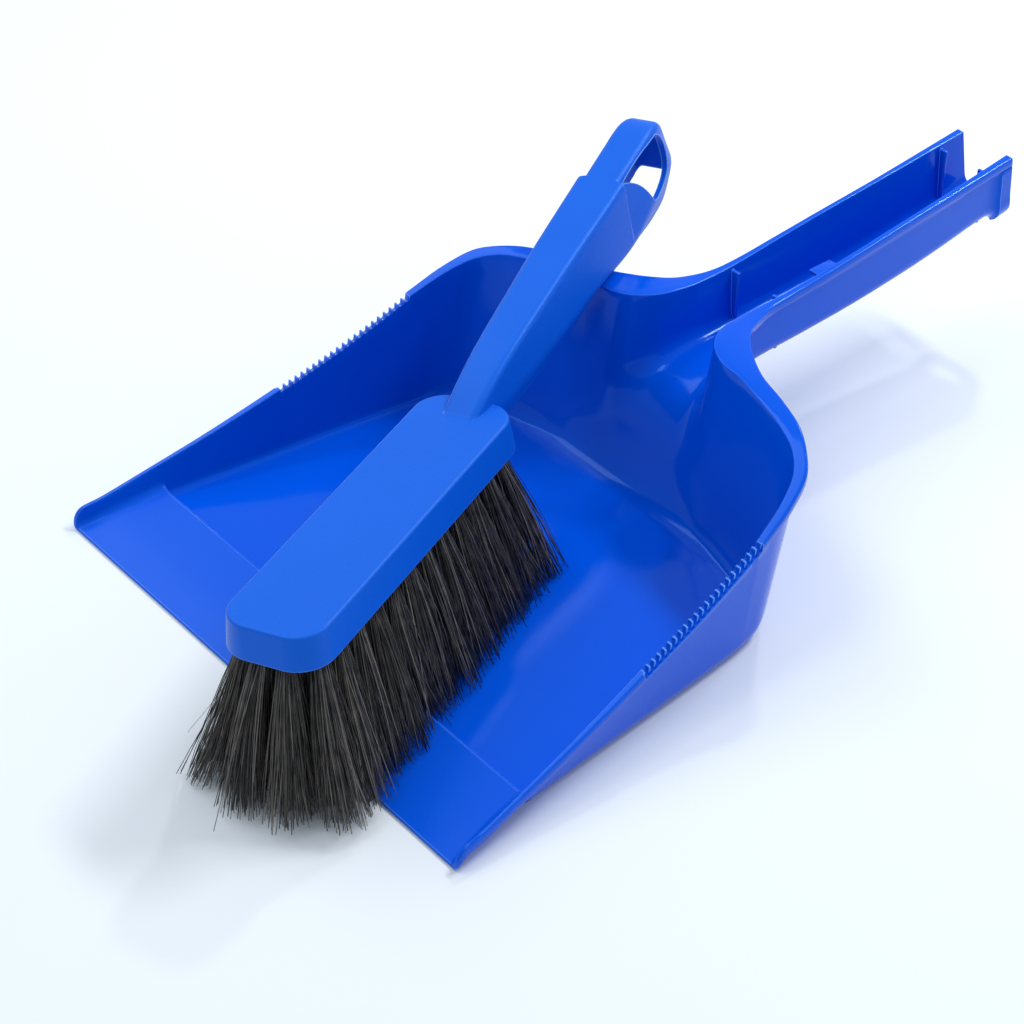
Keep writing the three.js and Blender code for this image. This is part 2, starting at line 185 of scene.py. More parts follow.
def make_camera():
    sin_a, cos_a = math.sin(AZIMUTH), math.cos(AZIMUTH)
    sin_e, cos_e = math.sin(ELEVATION), math.cos(ELEVATION)
    back = Vector((sin_a * cos_e, -cos_a * cos_e, sin_e))
    right = Vector((cos_a, sin_a, 0))
    up = back.cross(right)
    data = bpy.data.cameras.new("camera")
    data.sensor_width = 36
    data.lens = 94.28
    data.clip_end = 50
    cam = bpy.data.objects.new("camera", data)
    turn = Matrix((right, up, back)).transposed().to_4x4()
    cam.matrix_world = Matrix.Translation((0.5702, -0.4514, 0.6053)) @ turn
    bpy.context.scene.collection.objects.link(cam)
    bpy.context.scene.camera = cam


# ---- pan: the curves that shape it ----
rim_profile = curve([
    (-3, 1.0), (0.2, 4.6), (2.5, 6.9), (6.4, 7.9), (10, 8.3), (17, 9.8), (30, 13.0), (53, 18.7), (85, 28.0),
    (113, 37.2), (141, 48.7), (152, 53.8), (163, 58.8), (174, 63.4), (186, 66.4), (198, 66.9), (210, 66.3),
    (225, 66.5), (245, 68.1), (275, 71.2), (310, 74.8), (349, 79.2),
])
rim_width = curve([(0, 1.6), (35, 1.9), (85, 2.8), (141, 3.2)])
side_thick = curve([(0, 1.2), (35, 1.5), (85, 2.0), (141, 2.2)])
spine_profile = curve([
    (150, 2.6), (158, 2.6), (163, 3.0), (167, 4.6), (170.5, 8.6), (174, 15), (178, 24), (184, 32.5),
    (190, 37.6), (197, 40.8), (206, 42.6), (218, 43.4), (240, 44.2), (273, 46), (312, 50.2), (338, 54.6),
    (358, 58.2),
])
ramp_profile = curve([(0.4, 0.9), (9, 2.5), (RAMP_CREST, RAMP_TOP)])

# Rim's outer edge, rim's inner edge, foot of the wall (x, y each), floor centre y, foot fillet.
PATH = np.array([
    (96.3, 141, 93.1, 141, 90.2, 137.2, 137.2, 3.2),
    (92.7, 158, 88.9, 156.5, 87.2, 148.2, 147.6, 5.5),
    (88.4, 167.8, 84.4, 165, 82.2, 154.4, 153.6, 8.5),
    (82, 173.6, 78, 170.6, 75.0, 158.8, 158.4, 11.5),
    (73, 179.4, 69, 174.8, 65.4, 162.6, 162.3, 14),
    (58, 184.9, 54, 179.1, 51.8, 166.4, 166.2, 16),
    (43.8, 189.1, 39, 182.6, 36.5, 169.8, 169.6, 16),
    (34, 194.4, 27.5, 184.2, 24.5, 176, 175.5, 14),
    (26.4, 200.1, 19.2, 189.2, 17.4, 184.8, 184.5, 12),
    (21.6, 205.5, 14.6, 196.4, 13.6, 193.5, 193.5, 9),
    (18.6, 211.8, 12.8, 206, 12.0, 204.5, 204.5, 7),
    (16.2, 220, 12.4, 218, 11.4, 217, 217, 5.5),
    (15.3, 232, 12.5, 232, 11.4, 232, 232, 5),
    (15.2, 250, 12.8, 250, 11.2, 250, 250, 4.5),
    (14.4, 300, 12.1, 300, 10.6, 300, 300, 4.5),
], float)
PATH_STEPS = (5, 5, 5, 5, 5, 5, 6, 7, 7, 6, 5, 4, 4, 5)


def side(y, inset):
    return LIP_HALF - SIDE_TAPER * y - inset


def rim_height(y):
    nose = 0.9 + 7.0 * np.sqrt(np.clip(1 - ((6.4 - y) / 6.4) ** 2, 0, 1)) ** 0.9
    return np.where(y < 6.4, nose, rim_profile(y))


def floor_height(y):
    """Top of the floor along the middle: the raised ramp, then the flat floor, then the spout."""
    if y <= 0.4:
        return lerp(0.25, 0.9, max(y, 0) / 0.4)
    if y <= RAMP_CREST:
        return float(ramp_profile(y))
    if y <= RAMP_END:
        return lerp(RAMP_TOP, 5.25, y - RAMP_CREST)
    if y <= 34.9:
        return lerp(5.25, FLOOR_TOP, (y - RAMP_END) / 0.4)
    return float(spine_profile(y))


def straight_station(y):
    rim = float(rim_height(y))
    nose = 1.0 * (1 - math.sqrt(1 - (1 - y / 4) ** 2)) if y < 4 else 0
    inner = side(y, float(rim_width(y)) + 0.6 * nose)
    foot = side(y, lerp(2.4, FOOT_INSET, float(smoothstep(y, -4, 26))))
    low = floor_height(y)
    rise = min(max((low - FLOOR_TOP) / max(rim - FLOOR_TOP, 1), 0), 0.9)
    foot_y = y - BACK_INSET * float(smoothstep(y, 118, 200))
    return dict(
        outer=(side(y, nose), y), inner=(inner, y), foot=(lerp(foot, inner, rise), foot_y, low),
        spine=(0, foot_y, low), fillet=lerp(2.2, 3.2, float(smoothstep(y, 0, 40))), comb=0.0, ledge=0.0,
        shrink=0.0, thick=float(side_thick(y)),
    )


def comb_stations():
    """Thin fins and the scallops between them: (y, share of the scallop's depth)."""
    cut = ((-0.41, 0), (-0.375, 0.5), (-0.29, 0.8), (-0.15, 0.95), (0, 1), (0.15, 0.95), (0.29, 0.8),
           (0.375, 0.5), (0.41, 0))
    pitch = (COMB_END - COMB_START) / COMB_TEETH
    for tooth in range(COMB_TEETH):
        for part, depth in cut:
            yield COMB_START + (tooth + 0.5 + part) * pitch, depth


path_thick = curve([(141, 2.2), (165, 2.4), (190, 2.5), (212, 2.3), (232, 1.8), (300, 1.75)])


def path_stations():
    knots = np.concatenate([[0], np.cumsum(np.hypot(*np.diff(PATH[:, :2], axis=0).T))])
    columns = [curve(np.column_stack([knots, PATH[:, c]])) for c in range(PATH.shape[1])]
    places = [0.0]
    for k, steps in enumerate(PATH_STEPS):
        places += [lerp(knots[k], knots[k + 1], (i + 1) / steps) for i in range(steps)]
    for place in places[1:]:
        ox, oy, ix, iy, fx, fy, sy, fillet = [float(c(place)) for c in columns]
        yield dict(
            outer=(ox, oy), inner=(ix, iy), foot=(fx, fy, float(spine_profile(fy))),
            spine=(0, sy, float(spine_profile(sy))), fillet=fillet, comb=0.0, ledge=0.0, shrink=0.0,
            thick=float(path_thick(oy)),
        )


def handle_stations():
    """The last stretch of the trough: it stays parallel and ends in a thicker collar behind a cove."""
    cove, collar_start = HANDLE_END - COLLAR - COVE, HANDLE_END - COLLAR
    places = [306, 312, 318, 324, 330, cove - 2, cove, cove + 1.2, cove + 2.4, cove + 3.6, cove + 4.8,
              collar_start - 0.6, collar_start, collar_start + 0.5, 343.8, 345.2, 346.2, 346.7, HANDLE_END]
    for y in places:
        swell = min(max((y - cove) / COVE, 0), 1)
        collar = 1 - math.sqrt(1 - swell * swell) if swell < 1 else 1.0
        shrink = END_ROUNDING if y == HANDLE_END else 0.0
        low = float(spine_profile(y))
        yield dict(
            outer=(lerp(14.4, 14.3, (y - 300) / 47), y), inner=(lerp(12.1, 10.9, (y - 300) / 47), y),
            foot=(lerp(10.6, 9.7, (y - 300) / 47), y, low), spine=(0, y, low), fillet=4.5,
            comb=0.0, ledge=0.0, shrink=shrink, thick=lerp(1.75, 3.6, collar), keel=1.6 * collar,
        )


def all_stations():
    rows = [straight_station(y) for y in (
        0, 0.15, 0.4, 0.8, 1.4, 2.2, 3.2, 4.2, 5.2, 6.6, 8, 9.5, 13, 18, 23, 28, 32, 33.2, 33.5, 33.7, 34.3,
        34.5, 34.6, 34.9, 35.1, 36, 40, 50, 60, 70, 78, 83.2, 84.4)]
    for y, depth in comb_stations():
        row = straight_station(y)
        row["comb"], row["ledge"] = depth, 1.0
        rows.append(row)
    rows.append(straight_station(141.2))
    rows += list(path_stations())
    rows += list(handle_stations())
    return rows


# ---- pan: one cross-section ----
FLOOR_ROWS = np.array([0, 0.12, 0.24, 0.36, 0.48, 0.6, 0.7, 0.79, 0.86, 0.92, 0.97])
FILLET_ROWS = np.linspace(0, 1, 9)
WALL_ROWS = np.array([0.12, 0.28, 0.45, 0.62, 0.78, 0.9, 1.0])


def inner_rows(s, below_rim):
    """Points from the floor's centre out to the wall and up it, stopping below_rim under the rim."""
    spine, foot = np.array(s["spine"], float), np.array(s["foot"], float)
    top = np.array([*s["inner"], float(rim_height(s["inner"][1]))])
    run, climb = spine - foot, top - foot
    height = max(climb[2], 0.2)
    top = foot + climb * max(1 - below_rim / height, 0.35)
    climb = top - foot
    reach_floor = min(s["fillet"], 0.45 * np.linalg.norm(run))
    reach_wall = min(s["fillet"], 0.6 * np.linalg.norm(climb))
    a = foot + run / np.linalg.norm(run) * reach_floor
    b = foot + climb / np.linalg.norm(climb) * reach_wall
    rows = [lerp(spine, a, t) for t in FLOOR_ROWS]
    rows += [(1 - t) ** 2 * a + 2 * t * (1 - t) * foot + t * t * b for t in FILLET_ROWS]
    rows += [lerp(b, top, t) for t in WALL_ROWS]
    return np.array(rows)


def flange_points(s):
    """Rim: rounded inner edge, flat top, rounded outer edge, outer face and the step under it."""
    (ox, oy), (ix, iy) = s["outer"], s["inner"]
    across = np.array([ox - ix, oy - iy])
    width = np.linalg.norm(across)
    across /= width
    rim_in, rim_out = float(rim_height(iy)), float(rim_height(oy))
    face = min(RIM_FACE, 0.72 * rim_out)
    lift = s["comb"]
    shrink = s["shrink"]
    edge = min(0.7, 0.3 * face + 0.1, 0.34 * width)
    ledge = 2.7 * s["ledge"]
    soft = edge * (1 - 0.6 * s["ledge"])
    points = []

    def add(at, down):
        at = min(max(at, shrink), width - shrink)
        x, y = ix + across[0] * at, iy + across[1] * at
        points.append((x, y, lerp(rim_in, rim_out, at / width) - max(down, shrink)))

    dip_in, dip_out = 1.3 * lift, 2.7 * lift
    for at, down in ((0.0, 0.34), (0.05, 0.16), (0.14, 0.05), (0.3, 0.0)):
        add(min(at, 0.28 * width), down + dip_in)
    for share in (0.36, 0.54, 0.7):
        add(width * share, lerp(dip_in, dip_out, (share - 0.2) / 0.5))
    add(width * 0.72, lerp(dip_out, 2.7, s["ledge"]) if s["ledge"] else 0)
    for angle in (0, 22, 45, 68, 90):
        c, n = math.cos(math.radians(angle)), math.sin(math.radians(angle))
        add(width - soft * (1 - n), ledge + soft * (1 - c))
    add(width, max(face - 0.3, ledge + soft + 0.1))
    add(width - 0.12, max(face - 0.08, ledge + soft + 0.2))
    add(width - 0.5, max(face, ledge + soft + 0.3))
    return np.array(points)


def grid_normals(grid):
    along = np.gradient(grid, axis=0)
    along[1:-1] = grid[2:] - grid[:-2]
    around = np.gradient(grid, axis=1)
    n = np.cross(around, along)
    return n / np.maximum(np.linalg.norm(n, axis=2, keepdims=True), 1e-9)


def pan_half():
    stations = all_stations()
    inner = np.array([inner_rows(s, 0.6 + 1.5 * s["comb"]) for s in stations])
    sheath = np.array([inner_rows(s, min(RIM_FACE, 0.72 * float(rim_height(s["outer"][1]))) + 0.7)
                       for s in stations])
    flange = np.array([flange_points(s) for s in stations])
    n = grid_normals(sheath)
    n *= np.sign(n[:, :1, 2:3])
    ys = np.array([s["outer"][1] for s in stations])
    straight = (ys < 80)[:, None]
    n[:, :, 1] = np.where(straight, 0, n[:, :, 1])
    ends = np.array([s["outer"][1] > 300 for s in stations])[:, None]
    n[:, :, 1] = np.where(ends, 0, n[:, :, 1])
    n /= np.maximum(np.linalg.norm(n, axis=2, keepdims=True), 1e-9)
    wall = np.array([s["thick"] - s["shrink"] for s in stations])[:, None]
    under = [max(FLOOR_THICK, 1.3 * s["thick"]) + s.get("keel", 0) - s["shrink"] for s in stations]
    under = np.array(under)[:, None]
    rows = sheath.shape[1]
    climb = smoothstep(np.arange(rows), len(FLOOR_ROWS), len(FLOOR_ROWS) + len(FILLET_ROWS))[None, :]
    outer = sheath - n * lerp(under, wall, climb)[:, :, None]
    outer[:, :, 2] = np.maximum(outer[:, :, 2], 0)
    shrink = np.array([s["shrink"] for s in stations])[:, None, None]
    inner = inner - n * shrink
    for grid in (inner, outer):
        grid[:, 0, 0] = 0
        grid[:, 0, 1] = np.array([s["spine"][1] for s in stations])
        grid[:, :, 0] = np.maximum(grid[:, :, 0], 0)
    ring = np.concatenate([inner, flange, outer[:, ::-1]], axis=1)
    drop = np.maximum(rim_height(ys)[:, None] - ring[:, :, 2], 0)
    ring[:, :, 1] += SQUARE_CUT * drop * smoothstep(ys, 326, HANDLE_END)[:, None]
    return ring


def pan_mesh():
    ring = pan_half()
    count, around, _ = ring.shape
    faces = []
    for k in range(count - 1):
        for j in range(around - 1):
            faces.append((k * around + j, k * around + j + 1, (k + 1) * around + j + 1, (k + 1) * around + j))
    faces.append(tuple(range(around)))
    faces.append(tuple(reversed(range((count - 1) * around, count * around))))
    right = ring.reshape(-1, 3)
    left = right * (-1, 1, 1)
    size = len(right)
    faces += [tuple(size + i for i in reversed(face)) for face in faces]
    points = np.concatenate([right, left]) - (0, BASE_MIDDLE, 0)
    return tidy(new_object("pan_moulding", points, faces), 2e-6)


def slab(corners, rounding):
    """Thin plate from its eight corners (lower four, then upper four), with softened edges."""
    faces = [(0, 1, 2, 3), (4, 7, 6, 5), (0, 4, 5, 1), (1, 5, 6, 2), (2, 6, 7, 3), (3, 7, 4, 0)]
    obj = tidy(new_object("slab", np.array(corners, float) - (0, BASE_MIDDLE, 0), faces))
    mod = obj.modifiers.new("edge", "BEVEL")
    mod.width = rounding * MM
    mod.segments = 3
    bake_modifiers(obj)
    return obj


def rib(y, sign, reach, wall):
    low = float(spine_profile(y)) - 0.8
    high = float(rim_profile(y)) - 1.6
    foot = wall - reach * 0.8
    top = wall - reach
    outside = wall + 0.9
    low_out = wall - 0.2
    half = 0.65
    lower = [(sign * foot, y - half, low), (sign * low_out, y - half, low),
             (sign * low_out, y + half, low), (sign * foot, y + half, low)]
    upper = [(sign * top, y - half, high), (sign * outside, y - half, high),
             (sign * outside, y + half, high), (sign * top, y + half, high)]
    return slab(lower + upper, 0.3)


def clip():
    z = float(rim_profile(255)) - 4.8
    corners = [(4.4, 250.4), (13.4, 250.2), (13.4, 261), (4.4, 260.8)]
    return slab([(x, y, z - 1.5) for x, y in corners] + [(x, y, z) for x, y in corners], 0.3)


def absorb(obj, extra):
    """Adds another object's mesh to obj as it is."""
    bm = bmesh.new()
    bm.from_mesh(obj.data)
    bm.from_mesh(extra.data)
    bm.to_mesh(obj.data)
    bm.free()
    bpy.data.objects.remove(extra)


def hanging_slot():
    rings = []
    for z in (46, 64):
        ring = [(8.8 * math.cos(a), 343.8 + 3.5 * math.sin(a) - BASE_MIDDLE, z)
                for a in np.linspace(0, 2 * math.pi, 40, endpoint=False)]
        rings.append(ring)
    return loft("slot", rings)


def make_pan():
    pan = pan_mesh()
    join_or_cut(pan, hanging_slot(), "DIFFERENCE")
    for y, reach, wall in RIBS:
        for sign in (-1, 1):
            absorb(pan, rib(y, sign, reach, wall))
    absorb(pan, clip())
    smooth_shade(pan, 38)
    return pan


# ---- brush, in its own frame: x along it from the front edge, y across, z up from the block's top ----
def to_row(points):
    turn = np.array(BRUSH_TURN.to_matrix())
    return np.asarray(points, float) @ turn.T + np.array(BRUSH_AT)


def block_ring(grow, z):
    r = CORNER + grow
    hx0, hx1, hy = -grow + r, BLOCK_LENGTH + grow - r, BLOCK_WIDTH / 2 + grow - r
    ring = []
    for cx, cy, start in ((hx1, -hy, -90), (hx1, hy, 0), (hx0, hy, 90), (hx0, -hy, 180)):
        for k in range(13):
            a = math.radians(start + 7.5 * k)
            ring.append((cx + r * math.cos(a), cy + r * math.sin(a), z))
    return ring


def block():
    edge = 1.1
    rings = [block_ring(-3.2, 0.0)]
    for k in range(7):
        a = math.radians(15 * k)
        rings.append(block_ring(-edge + edge * math.sin(a), -edge + edge * math.cos(a)))
    rings += [block_ring(lerp(0.02, 1.3, t), lerp(-edge, -BLOCK_HEIGHT + 0.5, t)) for t in (0.35, 0.7, 1.0)]
    for k in range(1, 5):
        a = math.radians(22.5 * k)
        rings.append(block_ring(0.8 + 0.5 * math.cos(a), -BLOCK_HEIGHT + 0.5 - 0.5 * math.sin(a)))
    rings.append(block_ring(-2.0, -BLOCK_HEIGHT))
    return loft("block", [to_row(ring) for ring in rings])


grip_top = curve([(120, -3), (128, 0.4), (136, 4.2), (188, 19.8), (240, 31.4), (262, 36.4), (270, 38.2),
                  (276, 38.9), (281, 38.0), (285, 34.8), (288, 30.4), (290.6, 24.5)])
grip_waist = curve([(120, -6), (146, -4.4), (190, 1.4), (213, 4.8), (250, 9), (264, 15.2), (276, 19.2),
                    (284, 20), (290.6, 20.2)])
grip_foot = curve([(120, -11), (146, -10.8), (160, -9.6), (196, -3.2), (220, 2.9), (250, 4.8), (266, 6.6),
                   (277, 9.0), (284, 12.6), (288, 16.4), (290.6, 19.6)])
wide_top = curve([(120, 5.6), (136, 6.6), (188, 8.2), (240, 9.4), (262, 9.6), (274, 9.6), (279, 9.1),
                  (283, 8.0), (286, 6.9), (290.6, 5.6)])
waist_half = curve([(120, 7.4), (146, 8.2), (190, 10.8), (213, 12), (246, 12.4), (262, 12.1), (274, 11.2),
                    (282, 10), (287, 8.2), (290.6, 5.6)])
foot_half = curve([(120, 6), (146, 6.8), (196, 8.8), (230, 9.8), (250, 9.8), (268, 9.6), (280, 8.4), (286, 7),
                   (290.6, 4.6)])


def top_half(x):
    """Half width of the grip's flat top, which steps in to a narrower tongue."""
    return wide_top(x) - TONGUE_STEP * smoothstep(x, 243.4, 244.6)


def rounded_ring(corners, radii, x):
    """Section with each corner eased; two extra points on every flat."""
    corners = np.array(corners, float)
    n = len(corners)
    ring = []
    starts = []
    for k in range(n):
        p, a, b = corners[k], corners[k - 1], corners[(k + 1) % n]
        ra = min(radii[k], 0.4 * np.linalg.norm(a - p))
        rb = min(radii[k], 0.4 * np.linalg.norm(b - p))
        starts.append((p + (a - p) / np.linalg.norm(a - p) * ra, p, p + (b - p) / np.linalg.norm(b - p) * rb))
    for k, (a, p, b) in enumerate(starts):
        for t in np.linspace(0, 1, 6):
            ring.append((1 - t) ** 2 * a + 2 * t * (1 - t) * p + t * t * b)
        following = starts[(k + 1) % n][0]
        ring += [lerp(b, following, 0.33), lerp(b, following, 0.67)]
    return [(x, y, z) for y, z in ring]


def grip_ring(x, shrink, end=0.0):
    top, waist, foot = float(grip_top(x)), float(grip_waist(x)), float(grip_foot(x))
    th, wh, fh = float(top_half(x)) - shrink, float(waist_half(x)) - shrink, float(foot_half(x)) - shrink
    if shrink:
        top -= shrink * 1.1
        foot -= shrink * 4
    middle = (top + foot) / 2
    ease = 1 - end
    top, waist, foot = lerp(middle, top, ease), lerp(middle, waist, ease), lerp(middle, foot, ease)
    th, wh, fh = th * ease, wh * ease, fh * ease
    corners = [(-th, top), (-wh, waist), (-fh, foot), (fh, foot), (wh, waist), (th, top)]
    radii = [2.4, 2.6, 0.7, 0.7, 2.6, 2.4] if not shrink else [1.0, 1.6, 0.5, 0.5, 1.6, 1.0]
    return rounded_ring(corners, radii, x)


def grip(shrink, start, end, steps):
    """The grip, or with a shrink the hollow inside it: closely spaced rings at the step, eased at the tip."""
    cap = 2.0 if shrink else 3.4
    places = np.linspace(start, end - cap, steps)
    places = np.unique(np.concatenate([places[np.abs(places - 244) > 1.6], np.linspace(242.6, 245.6, 9)]))
    rings = [grip_ring(x, shrink) for x in places]
    for angle in (15, 30, 45, 60, 72, 82, 90):
        a = math.radians(angle)
        rings.append(grip_ring(end - cap + cap * math.sin(a), shrink, 0.1 * cap * (1 - math.cos(a))))
    return loft("grip", [to_row(ring) for ring in rings])


def bezier2(a, b, c, n):
    a, b, c = np.array(a, float), np.array(b, float), np.array(c, float)
    return [tuple((1 - t) ** 2 * a + 2 * t * (1 - t) * b + t * t * c) for t in np.linspace(0, 1, n + 1)[:-1]]


def loop_opening():
    outline = bezier2((245.6, 30.4), (257, 27.5), (262.4, 17), 12)
    outline += bezier2((262.4, 17), (263.4, 14.6), (267, 14.6), 4)
    outline += bezier2((267, 14.6), (279, 18.2), (280.6, 26.6), 10)
    outline += bezier2((280.6, 26.6), (281, 33.8), (274.4, 36.4), 8)
    outline += bezier2((274.4, 36.4), (259, 34.8), (245.6, 30.4), 10)
    return loft("loop", [to_row([(x, y, z) for x, z in outline]) for y in (-30, 30)])


def make_stock():
    handle = grip(0.0, *GRIP_REACH, 72)
    join_or_cut(handle, grip(GRIP_WALL, *GRIP_HOLLOW, 50), "DIFFERENCE")
    join_or_cut(handle, loop_opening(), "DIFFERENCE")
    stock = block()
    join_or_cut(stock, handle, "UNION")
    stock.name = "stock_moulding"
    stock.data.name = "stock_moulding"
    smooth_shade(stock, 28)
    even = stock.modifiers.new("even", "WEIGHTED_NORMAL")
    even.keep_sharp = True
    even.weight = 90
    return stock


# ---- fibres ----
def ground_under(y):
    """Height of the pan or the floor under a fibre, at a depth behind the lip."""
    ramp = np.interp(y, [-0.01, 0.0, RAMP_CREST, RAMP_END, 34.6], [0.0, 0.9, RAMP_TOP, RAMP_TOP, FLOOR_TOP])
    return np.where(y < 0, 0.0, ramp)


def fibre_paths(x, y):
    """Centre lines of one tuft's fibres, in the brush's frame: (fibre, step, xyz)."""
    n = FIBRES
    share = np.clip((x - 5.8) / 128.4, 0, 1)
    splay = np.array([lerp(*SPLAY_ALONG, share), float(np.interp(y, (-12.4, -4.1, 4.1, 12.4), SPLAY_ACROSS))])
    angle = RNG.uniform(0, 2 * math.pi, n)
    radius = np.sqrt(RNG.uniform(0, 1, n))
    disc = np.column_stack([np.cos(angle) * radius, np.sin(angle) * radius])
    clumps = RNG.normal(0, 0.35, (9, 2))
    pull = clumps[RNG.integers(0, 9, n)]
    tip = disc * TUFT_TIP + pull * TUFT_TIP * 0.5 + RNG.normal(0, 0.7, (n, 2))
    stray = RNG.uniform(0, 1, n) < 0.035
    tip += np.where(stray[:, None], RNG.normal(0, 5.0, (n, 2)), 0)
    length = TUFT_LENGTH - np.abs(RNG.normal(0, 0.9, n)) - RNG.uniform(0, 0.5)
    length -= np.where(RNG.uniform(0, 1, n) < 0.04, RNG.uniform(3, 14, n), 0)
    bow = RNG.normal(0, 0.9, (n, 2)) + RNG.normal(0, 0.5, 2)
    wave = RNG.normal(0, 0.28, (n, 2))
    phase = RNG.uniform(0, 6.28, n)
    for _ in range(12):
        ends = tuft_point(x, y, splay, disc, tip, bow, wave, phase, length, 1.0)
        row = to_row(ends)
        depth = row[:, 1] + BASE_MIDDLE
        under = np.maximum(ground_under(depth), ground_under(depth - 1.5))
        length = np.where(row[:, 2] < under + 0.7, length - 0.6, length)
    steps = [tuft_point(x, y, splay, disc, tip, bow, wave, phase, length, t) for t in np.linspace(0, 1, 7)]
    return np.stack(steps, axis=1), stray


def tuft_point(x, y, splay, disc, tip, bow, wave, phase, length, t):
    down = -BLOCK_HEIGHT + 1.5 - (length + 1.5) * t
    drift = splay[None, :] * t * (length / TUFT_LENGTH)[:, None]
    spread = disc * TUFT_ROOT * (1 - t) + tip * t ** 1.15
    curl = bow * math.sin(math.pi * t) + wave * np.sin(phase + 7.5 * t)[:, None] * t
    flat = np.array([x, y])[None, :] + drift + spread + curl
    return np.column_stack([flat, down])


def fibre_mesh(name, paths, stray):
    """Three-sided tapering strands along the given centre lines, with a shade for each strand."""
    n, steps, _ = paths.shape
    radius = RNG.uniform(0.16, 0.25, n)[:, None] * np.linspace(1.0, 0.72, steps)[None, :]
    twist = RNG.uniform(0, 2.1, n)
    sides = np.array([0, 2.0944, 4.1888])
    around = twist[:, None] + sides[None, :]
    offset = np.stack([np.cos(around), np.sin(around), np.zeros_like(around)], axis=2)
    points = paths[:, :, None, :] + radius[:, :, None, None] * offset[:, None, :, :]
    faces = []
    for f in range(n):
        base = f * steps * 3
        for k in range(steps - 1):
            for j in range(3):
                m = (j + 1) % 3
                faces.append((base + k * 3 + j, base + k * 3 + m, base + k * 3 + 3 + m, base + k * 3 + 3 + j))
        faces.append((base + 2, base + 1, base))
        last = base + (steps - 1) * 3
        faces.append((last, last + 1, last + 2))
    obj = new_object(name, to_row(points.reshape(-1, 3)), faces)
    shade = np.clip(RNG.beta(0.9, 2.2, n) + np.where(stray, 0.45, 0), 0, 1)
    lock = RNG.normal(0, 0.06)
    values = np.repeat(np.clip(shade + lock, 0, 1), steps * 3)
    obj.data.attributes.new("shade", "FLOAT", "POINT").data.foreach_set("value", values.astype(np.float32))
    for face in obj.data.polygons:
        face.use_smooth = True
    bm = bmesh.new()
    bm.from_mesh(obj.data)
    bmesh.ops.recalc_face_normals(bm, faces=bm.faces)
    bm.to_mesh(obj.data)
    bm.free()
    return obj


# ---- materials ----
def material(name):
    mat = bpy.data.materials.new(name)
    mat.use_nodes = True
    tree = mat.node_tree
    return mat, tree, tree.nodes["Principled BSDF"]


def noise(tree, coords, scale, detail=4.0, rough=0.5):
    node = tree.nodes.new("ShaderNodeTexNoise")
    node.inputs["Scale"].default_value = scale
    node.inputs["Detail"].default_value = detail
    node.inputs["Roughness"].default_value = rough
    tree.links.new(coords, node.inputs["Vector"])
    return node.outputs["Fac"]


def remap(tree, value, low, high, to_low, to_high):
    node = tree.nodes.new("ShaderNodeMapRange")
    for socket, number in zip(("From Min", "From Max", "To Min", "To Max"), (low, high, to_low, to_high)):
        node.inputs[socket].default_value = number
    tree.links.new(value, node.inputs["Value"])
    return node.outputs["Result"]


def math_node(tree, operation, a, b):
    node = tree.nodes.new("ShaderNodeMath")
    node.operation = operation
    for socket, value in zip(node.inputs, (a, b)):
        if isinstance(value, (int, float)):
            socket.default_value = value
        else:
            tree.links.new(value, socket)
    return node.outputs[0]


def blend_colour(tree, factor, a, b):
    node = tree.nodes.new("ShaderNodeMix")
    node.data_type = "RGBA"
    tree.links.new(factor, node.inputs["Factor"])
    for socket, value in ((node.inputs[6], a), (node.inputs[7], b)):
        if isinstance(value, tuple):
            socket.default_value = (*value, 1)
        else:
            tree.links.new(value, socket)
    return node.outputs[2]


def bump(tree, height, strength, distance, following=None):
    node = tree.nodes.new("ShaderNodeBump")
    node.inputs["Strength"].default_value = strength
    node.inputs["Distance"].default_value = distance
    tree.links.new(height, node.inputs["Height"])
    if following is not None:
        tree.links.new(following, node.inputs["Normal"])
    return node.outputs["Normal"]


def coordinates(tree):
    return tree.nodes.new("ShaderNodeTexCoord").outputs["Object"]


def painted_edge_highlight(tree, reach):
    """Mask for a painted highlight along edges: 1 along outward edges, within a reach in metres, and 0
    elsewhere.
    """
    geometry = tree.nodes.new("ShaderNodeNewGeometry")
    rounded = tree.nodes.new("ShaderNodeBevel")
    rounded.samples = 6
    rounded.inputs["Radius"].default_value = reach
    agree = tree.nodes.new("ShaderNodeVectorMath")
    agree.operation = "DOT_PRODUCT"
    tree.links.new(geometry.outputs["Normal"], agree.inputs[0])
    tree.links.new(rounded.outputs["Normal"], agree.inputs[1])
    near_edge = remap(tree, agree.outputs["Value"], 0.99, 0.90, 0.0, 1.0)
    outward = remap(tree, geometry.outputs["Pointiness"], 0.497, 0.505, 0.0, 1.0)
    return math_node(tree, "MULTIPLY", near_edge, outward)


